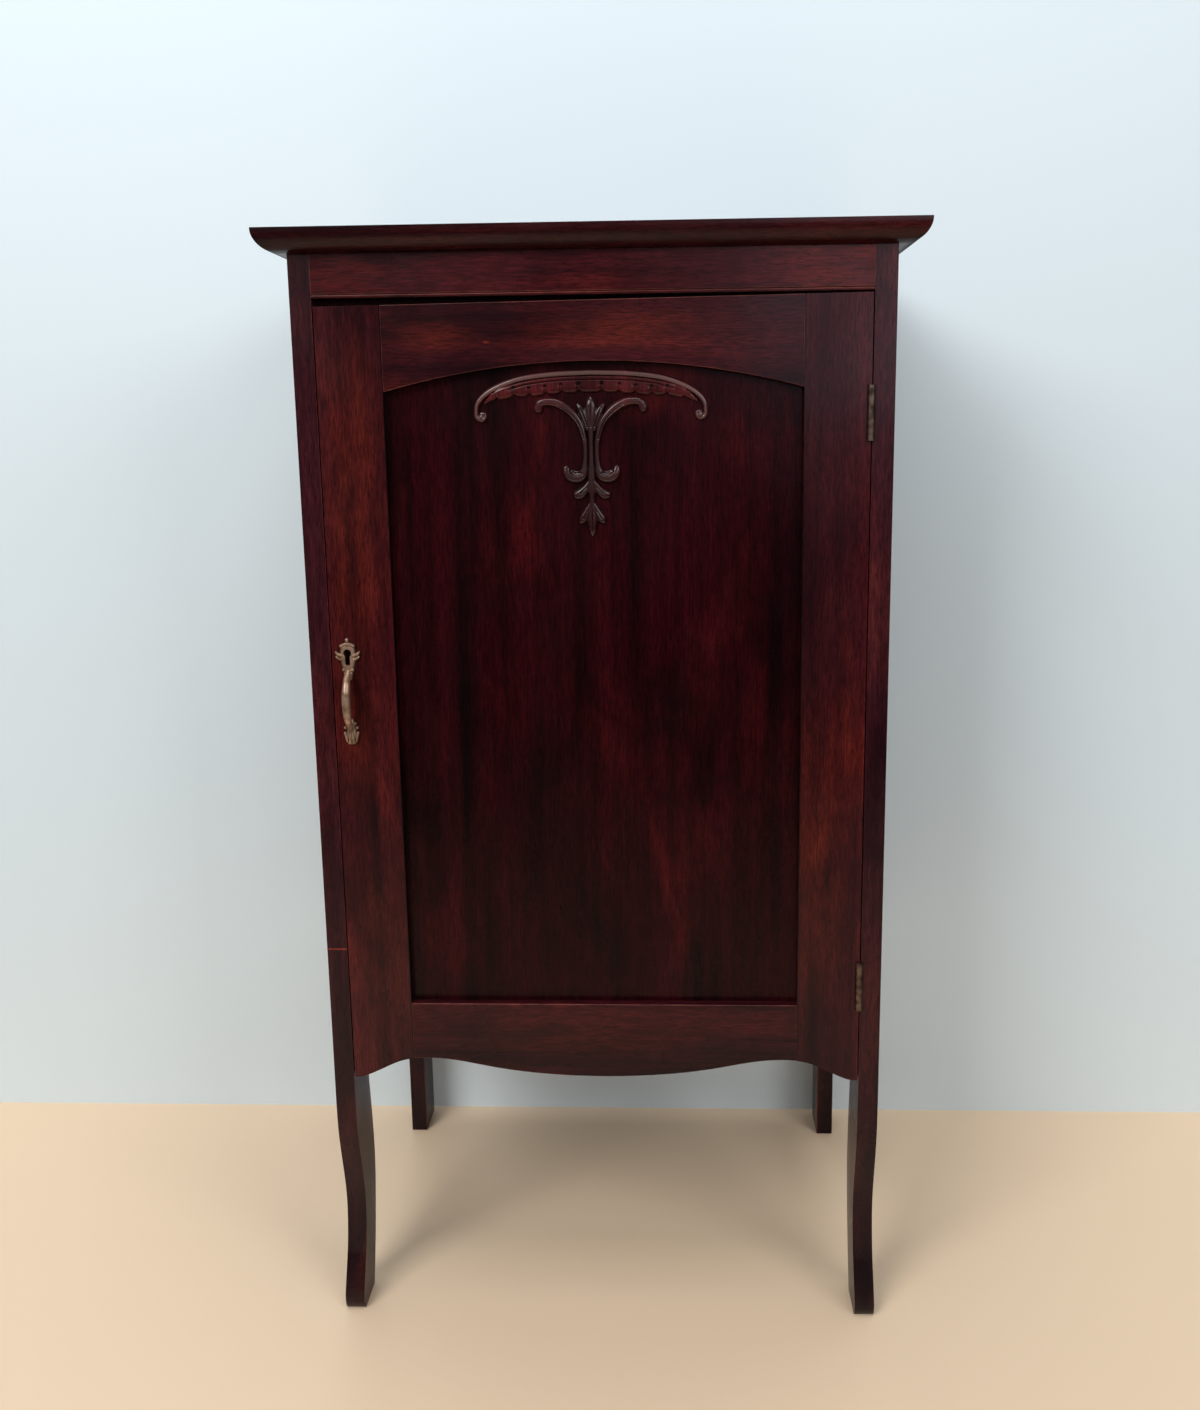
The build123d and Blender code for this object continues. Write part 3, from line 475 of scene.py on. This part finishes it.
lobe = [(1.8, -110.5, 3.1, 3.8), (6.0, -116.6, 4.2, 4.2), (11.0, -121.4, 5.3, 4.2), (13.7, -122.2, 4.6, 3.6)]
hanging = [
    (1.6, -131.0, 2.4, 3.2), (5.0, -138.0, 3.5, 3.6), (8.8, -144.6, 4.1, 3.6), (10.5, -147.6, 2.2, 2.4),
]
stem = [
    (0, -33.2, 1.9, 2.4), (0, -39, 5.1, 4.6), (0, -46, 6.1, 5.0), (0, -56, 4.0, 4.8), (0, -66, 3.1, 4.4),
    (0, -79, 2.7, 4.2), (0, -92, 2.9, 4.4), (0, -108, 4.2, 4.4), (0, -119, 3.6, 4.0), (0, -127, 3.2, 3.6),
    (0, -137, 4.3, 3.8), (0, -146, 5.4, 4.0), (0, -154, 4.1, 3.2), (0, -159.8, 1.7, 1.4),
]
cuts = both(
    [
        [(9.6, -102.4, 1.6, 1.6), (14.6, -102.6, 2.3, 2.6), (19.6, -100.6, 1.7, 2.2)],
        [(31, -39.2, 0.6, 0.9), (20, -46.2, 0.7, 1.3), (11.4, -57, 0.7, 1.3), (6.6, -71, 0.6, 0.9)],
        [(10.0, -42.8, 0.4, 0.6), (6.4, -50.6, 0.6, 1.2), (3.4, -60, 0.5, 0.9)],
        [(5.0, -115.8, 0.5, 0.8), (10.6, -120.8, 0.7, 1.4)],
        [(4.6, -137.6, 0.5, 0.8), (8.6, -144.4, 0.6, 1.2)],
    ]
) + [
    [(0, -36.5, 0.4, 0.8), (0, -46, 0.7, 1.6), (0, -60, 0.5, 1.0)],
    [(0, -134, 0.4, 0.8), (0, -146, 0.6, 1.4), (0, -155, 0.4, 0.8)],
]
centre = both([scroll, leaflet, lobe, hanging]) + [stem]
relief("carving_centre", centre, cuts, arch, panel_face, "carved_centre", "carved_wood", carved, step=0.4)

# Door pull: a cast brass keyhole plate and a fanned lower plate, joined by a bowed bar.
# It is pinned to the left stile, brown in its hollows and worn bright where it is touched.
tarnish = bpy.data.node_groups.new("Tarnish", "ShaderNodeTree")
given, result = sockets(
    tarnish,
    {"Vector": "Vector", "Bright": "Color", "Dull": "Color", "Low": "Float"},
    {"Color": "Color", "Roughness": "Float", "Height": "Float"},
)
clouds = noise(tarnish, given["Vector"], (130.0, 130.0, 130.0), detail=5.0, low=0.38, high=0.64)
specks = noise(tarnish, given["Vector"], (900.0, 900.0, 900.0), detail=2.0)
tarnish.links.new(blend(tarnish, clouds, given["Bright"], given["Dull"]), result.inputs["Color"])
dull = calculate(tarnish, "MULTIPLY_ADD", clouds, 0.22)
tarnish.links.new(given["Low"], dull.node.inputs[2])
tarnish.links.new(dull, result.inputs["Roughness"])
tarnish.links.new(specks, result.inputs["Height"])


def metal(name, bright, dull, rough):
    """Aged metal whose colour and gloss change over the piece."""
    made = bpy.data.materials.new(name)
    made.use_nodes = True
    tree = made.node_tree
    surface = tree.nodes["Principled BSDF"]
    place = tree.nodes.new("ShaderNodeTexCoord").outputs["Object"]
    own = add(tree, "ShaderNodeGroup", {}, node_tree=tarnish)
    tree.links.new(place, own.inputs["Vector"])
    own.inputs["Bright"].default_value = paint(*bright)
    own.inputs["Dull"].default_value = paint(*dull)
    own.inputs["Low"].default_value = rough
    pits = {"Height": own.outputs["Height"], "Distance": 0.00003, "Strength": 1.0}
    raised = add(tree, "ShaderNodeBump", pits)
    tree.links.new(own.outputs["Color"], surface.inputs["Base Color"])
    tree.links.new(own.outputs["Roughness"], surface.inputs["Roughness"])
    tree.links.new(raised.outputs[0], surface.inputs["Normal"])
    surface.inputs["Metallic"].default_value = 1.0
    return made


brass = metal("Aged brass", (176, 146, 126), (122, 96, 76), 0.42)
tree = brass.node_tree
surface = tree.nodes["Principled BSDF"]
surface.inputs["Metallic"].default_value = 0.75
ridges = add(tree, "ShaderNodeAttribute", {}, attribute_name="ridge").outputs["Fac"]
grimy = add(tree, "ShaderNodeMapRange", {"Value": ridges, "From Min": 0.1, "From Max": 0.6}).outputs[0]
bare_colour = surface.inputs["Base Color"].links[0].from_socket
tree.links.new(blend(tree, grimy, paint(58, 38, 26), bare_colour), surface.inputs["Base Color"])
pull = (-238.3, 701.4)
stile_face = -159.5
plate = both(
    [
        [(5.0, -2.6, 1.6, 2.6), (9.0, -1.2, 1.9, 3.0), (11.2, 1.0, 1.3, 2.6)],
        [(5.0, -6.4, 1.5, 2.4), (8.4, -5.2, 1.7, 2.8), (10.8, -3.4, 1.2, 2.4)],
        [(4.4, -16.0, 1.8, 3.8), (4.2, -16.4, 1.8, 3.8)],
        [(3.0, -19.6, 1.7, 4.0), (2.8, -19.9, 1.7, 4.0)],
        [(5.8, -73.0, 1.7, 3.2), (5.4, -73.3, 1.7, 3.2)],
        [(6.2, -78.4, 1.6, 3.0), (4.4, -86.5, 1.4, 2.8)],
        [(4.2, -69.0, 1.5, 3.2), (3.8, -69.3, 1.5, 3.2)],
    ]
) + [
    [(0, -24, 3.6, 2.6), (0, -13, 6.4, 3.0), (0, -4, 8.0, 3.0), (0, 3.0, 7.6, 3.0), (0, 5.0, 6.0, 2.8)],
    [(-6.0, 7.0, 1.8, 3.2), (0, 8.9, 2.0, 3.4), (6.0, 7.0, 1.8, 3.2)],
    [(0, 12.6, 2.2, 3.4), (0, 12.8, 2.2, 3.4)],
    [(0, -67, 3.0, 2.4), (0, -76, 5.2, 2.8), (0, -83, 4.9, 3.0), (0, -87.4, 3.4, 2.4)],
    [(-2.6, -88.4, 1.7, 2.4), (2.6, -88.4, 1.7, 2.4)],
]
flutes = both([[(1.4, -75, 0.5, 0.8), (3.4, -85.5, 0.7, 1.2)]]) + [[(0, -75, 0.5, 0.8), (0, -88, 0.7, 1.2)]]
keyhole = [
    [(0, 0.1, 3.8, 40), (0, -0.1, 3.8, 40)],
    [(0, -3.0, 2.4, 40), (0, -9.8, 2.4, 40)],
]
cast = (plate, flutes + keyhole, pull, stile_face, "door_pull", "pull_brass", brass)
relief("pull_plates", *cast, step=0.22, rise=2)

bowed = bpy.data.node_groups.new("Bowed bar", "GeometryNodeTree")
bowed.interface.new_socket("Geometry", in_out="OUTPUT", socket_type="NodeSocketGeometry")
bowed.interface.new_socket("Geometry", in_out="INPUT", socket_type="NodeSocketGeometry")
thickness = bowed.interface.new_socket("Thickness", in_out="INPUT", socket_type="NodeSocketFloat")
swell = bowed.interface.new_socket("Swell", in_out="INPUT", socket_type="NodeSocketFloat")
skin = bowed.interface.new_socket("Material", in_out="INPUT", socket_type="NodeSocketMaterial")
given = bowed.nodes.new("NodeGroupInput").outputs
even = add(bowed, "GeometryNodeResampleCurve", {"Curve": given["Geometry"], "Count": 48})
along = add(bowed, "GeometryNodeSplineParameter", {}).outputs["Factor"]
arc = calculate(bowed, "SINE", calculate(bowed, "MULTIPLY", along, math.pi), 0.0)
radius = calculate(bowed, "MULTIPLY", arc, given["Swell"])
radius = calculate(bowed, "ADD", radius, given["Thickness"])
ring = add(bowed, "GeometryNodeCurvePrimitiveCircle", {"Resolution": 24, "Radius": 1.0})
swept = add(
    bowed,
    "GeometryNodeCurveToMesh",
    {"Curve": even.outputs[0], "Profile Curve": ring.outputs["Curve"], "Scale": radius, "Fill Caps": True},
)
solid = add(bowed, "GeometryNodeRealizeInstances", {"Geometry": swept.outputs[0]})
coated = add(bowed, "GeometryNodeSetMaterial", {"Geometry": solid.outputs[0], "Material": given["Material"]})
result = bowed.nodes.new("NodeGroupOutput")
bowed.links.new(coated.outputs[0], result.inputs[0])
route = [(2.0, -16.5), (-3.6, -19.6), (-8.8, -25.6), (-13.0, -37.0), (-14.0, -46.4), (-13.0, -56.4)]
route += [(-8.8, -66.6), (-3.6, -72.0), (1.0, -75.0)]
line = bpy.data.curves.new("bar line", "CURVE")
line.dimensions = "3D"
rows = smooth([(y, z, 0.0) for y, z in route], 1.0)
spline = line.splines.new("POLY")
spline.points.add(len(rows) - 1)
for point, (y, z, _) in zip(spline.points, rows):
    point.co = (pull[0] / 1000, (stile_face + y) / 1000, (pull[1] + z) / 1000, 1.0)
guide = bpy.data.objects.new("bar line", line)
bpy.context.collection.objects.link(guide)
nodes = guide.modifiers.new("bar", "NODES")
nodes.node_group = bowed
nodes[thickness.identifier] = 0.0024
nodes[swell.identifier] = 0.0016
nodes[skin.identifier] = brass
bpy.context.view_layer.update()
evaluated = guide.evaluated_get(bpy.context.evaluated_depsgraph_get())
mesh = bpy.data.meshes.new_from_object(evaluated)
bpy.data.objects.remove(guide)
shape = bmesh.new()
shape.from_mesh(mesh)
bmesh.ops.remove_doubles(shape, verts=shape.verts, dist=1e-6)
bmesh.ops.recalc_face_normals(shape, faces=shape.faces)
shape.to_mesh(mesh)
shape.free()
mesh.shade_smooth()
mesh.attributes.new("ridge", "FLOAT", "POINT").data.foreach_set("value", np.full(len(mesh.vertices), 0.8))
bar = bpy.data.objects.new("pull_bar", mesh)
bpy.context.collection.objects.link(bar)
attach(bar, "door")

# Lock and hinges: rolled brass plates and leaves, a cast lock box and turned pins, all browned with age.
# They are let into the edges of the door and post, and held by small steel screws.
plain_brass = metal("Plain brass", (186, 148, 104), (112, 82, 56), 0.32)
dark_brass = metal("Dark brass", (128, 108, 96), (62, 48, 42), 0.38)
steel = metal("Old steel", (120, 116, 110), (60, 52, 46), 0.35)
finishes = {
    "pull_pins": plain_brass,
    "lock_plate": plain_brass,
    "lock_box": steel,
    "lock_bolt": plain_brass,
    "lock_screws": steel,
    "strike_plate": plain_brass,
    "strike_screws": steel,
    "top_screws": steel,
    "hinge_post_screws": steel,
    "hinge_door_screws": steel,
}
for level in ("upper", "lower"):
    for part in ("post_leaf", "door_leaf", "pin"):
        finishes[f"hinge_{level}_{part}"] = dark_brass
for name, finish in finishes.items():
    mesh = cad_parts[name].data
    mesh.materials.clear()
    mesh.materials.append(finish)

# Floor and backdrop: a pale warm floor that keeps the cabinet's shadow and falls into shade further off.
# A pale cool wall stands close behind the cabinet, and isn't seen from its far side.


def plain_paint(name, near, far, rough):
    """Even paint of one colour near the cabinet that turns to another further off."""
    made = bpy.data.materials.new(name)
    made.use_nodes = True
    tree = made.node_tree
    surface = tree.nodes["Principled BSDF"]
    place = tree.nodes.new("ShaderNodeTexCoord").outputs["Object"]
    away = add(tree, "ShaderNodeVectorMath", {0: place}, operation="LENGTH").outputs["Value"]
    shade = add(tree, "ShaderNodeMapRange", {"Value": away, "From Min": 0.9, "From Max": 2.0})
    tree.links.new(blend(tree, shade.outputs[0], paint(*near), paint(*far)), surface.inputs["Base Color"])
    surface.inputs["Roughness"].default_value = rough
    return made


def sheet(name, corners, finish):
    """Flat four-cornered sheet of the set."""
    mesh = bpy.data.meshes.new(name)
    mesh.from_pydata(corners, [], [(0, 1, 2, 3)])
    mesh.materials.append(finish)
    made = bpy.data.objects.new(name, mesh)
    bpy.context.collection.objects.link(made)
    return made


floor_paint = plain_paint("Pale floor", (218, 194, 166), (30, 26, 23), 0.5)
sheet("floor", [(-6, -6, 0), (6, -6, 0), (6, 6, 0), (-6, 6, 0)], floor_paint)
wall_paint = plain_paint("Pale wall", (222, 236, 244), (222, 236, 244), 0.9)
tree = wall_paint.node_tree
clear = tree.nodes.new("ShaderNodeBsdfTransparent").outputs[0]
behind = tree.nodes.new("ShaderNodeNewGeometry").outputs["Backfacing"]
seen = add(tree, "ShaderNodeMixShader", {0: behind, 1: tree.nodes["Principled BSDF"].outputs[0], 2: clear})
tree.links.new(seen.outputs[0], tree.nodes["Material Output"].inputs["Surface"])
wall_y = 0.186
wall = sheet("backdrop", [(-6, wall_y, 0), (6, wall_y, 0), (6, wall_y, 4), (-6, wall_y, 4)], wall_paint)
wall.visible_shadow = False

# Light: large soft lamps above and in front, a weak one behind for the cabinet's back, and a cool window.
# The room around them is plain and dim, so that the polish stays dark.
lamps = {
    "key": ((-1.7, -2.3, 2.7), (0.0, 0.0, 0.6), 1.6, 74.0, (1.0, 0.99, 0.97)),
    "fill": ((2.2, -2.2, 2.2), (0.0, 0.0, 0.5), 1.4, 30.0, (1.0, 0.99, 0.97)),
    "overhead": ((0.0, -0.4, 3.2), (0.0, 0.0, 0.0), 1.8, 50.0, (1.0, 0.99, 0.98)),
    "rear": ((-1.0, 2.6, 2.2), (0.0, 0.0, 0.6), 1.6, 14.0, (1.0, 0.99, 0.97)),
    "window": ((0.75, -2.5, 1.4), (0.2, 0.0, 1.0), 0.9, 5.0, (0.82, 0.88, 1.0)),
}
for name, (place, target, size, power, tint) in lamps.items():
    lamp = bpy.data.lights.new(name, "AREA")
    lamp.color = tint
    lamp.size = size
    lamp.energy = power
    holder = bpy.data.objects.new(name, lamp)
    bpy.context.collection.objects.link(holder)
    aim = np.array(target) - np.array(place)
    yaw = math.atan2(aim[1], aim[0]) - math.pi / 2
    tilt = math.atan2(aim[2], math.hypot(aim[0], aim[1])) + math.pi / 2
    holder.location = place
    holder.rotation_euler = (tilt, 0, yaw)
world = bpy.data.worlds.new("room")
world.use_nodes = True
room = world.node_tree.nodes["Background"]
room.inputs["Color"].default_value = (0.86, 0.9, 0.92, 1.0)
room.inputs["Strength"].default_value = 0.12
bpy.context.scene.world = world
bpy.context.scene.view_settings.view_transform = "Standard"

# Camera: at the photo's height and distance, a little to the right of the middle and tilted down.
# Its place, turn and shift were fitted to the edges of the posts, legs and top board.
lens = bpy.data.cameras.new("camera")
lens.lens = 28.085
lens.shift_x = -0.0252
lens.shift_y = -0.0723
camera = bpy.data.objects.new("camera", lens)
bpy.context.collection.objects.link(camera)
turn = Matrix.Rotation(math.radians(1.9), 4, "Z") @ Matrix.Rotation(math.radians(81.019), 4, "X")
camera.matrix_world = (
    Matrix.Translation((0.071, -1.1805, 0.9093)) @ turn @ Matrix.Rotation(math.radians(-0.673), 4, "Z")
)
bpy.context.scene.camera = camera
